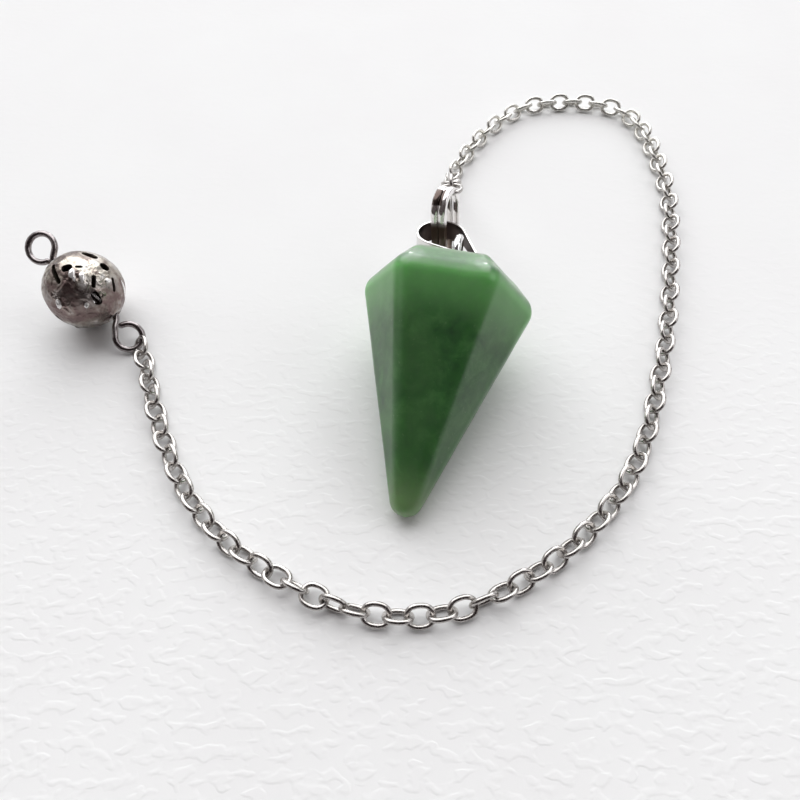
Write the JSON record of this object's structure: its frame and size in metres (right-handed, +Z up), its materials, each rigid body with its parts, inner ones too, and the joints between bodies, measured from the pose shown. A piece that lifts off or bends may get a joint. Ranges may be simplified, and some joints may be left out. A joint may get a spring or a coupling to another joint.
{
  "type": "pendulum pendant",
  "caption": "Pointed six-sided green stone on a fine cable chain that ends in an openwork bead, a hand-held pendulum pendant, lying on a table.",
  "frame": {"origin": "on the table, under the middle of the whole lying piece", "axes": "+Z up from the table, +Y toward the far side of the table as the stone's blunt end points, +X to the right, away from the bead"},
  "size_m": [0.081, 0.0768, 0.0156],
  "materials": {
    "stone": "polished",
    "silver_metal": "polished",
    "bead_metal": "polished, worn",
    "dark_metal": "satin"
  },
  "bodies": {
    "pendant": {"stone": "stone", "eye_peg": "silver_metal", "bail": "silver_metal", "split_ring": "silver_metal", "chain": "silver_metal", "eye_pin": "dark_metal"},
    "bead": {"bead": "bead_metal"}
  },
  "joints": [
    {"name": "bead_spin", "type": "hinge", "parent": "pendant", "child": "bead", "pos_m": [-0.03402, 0.00026, 0.00458], "axis": [-0.7089, 0.4818, 0.515], "continuous": true}
  ]
}
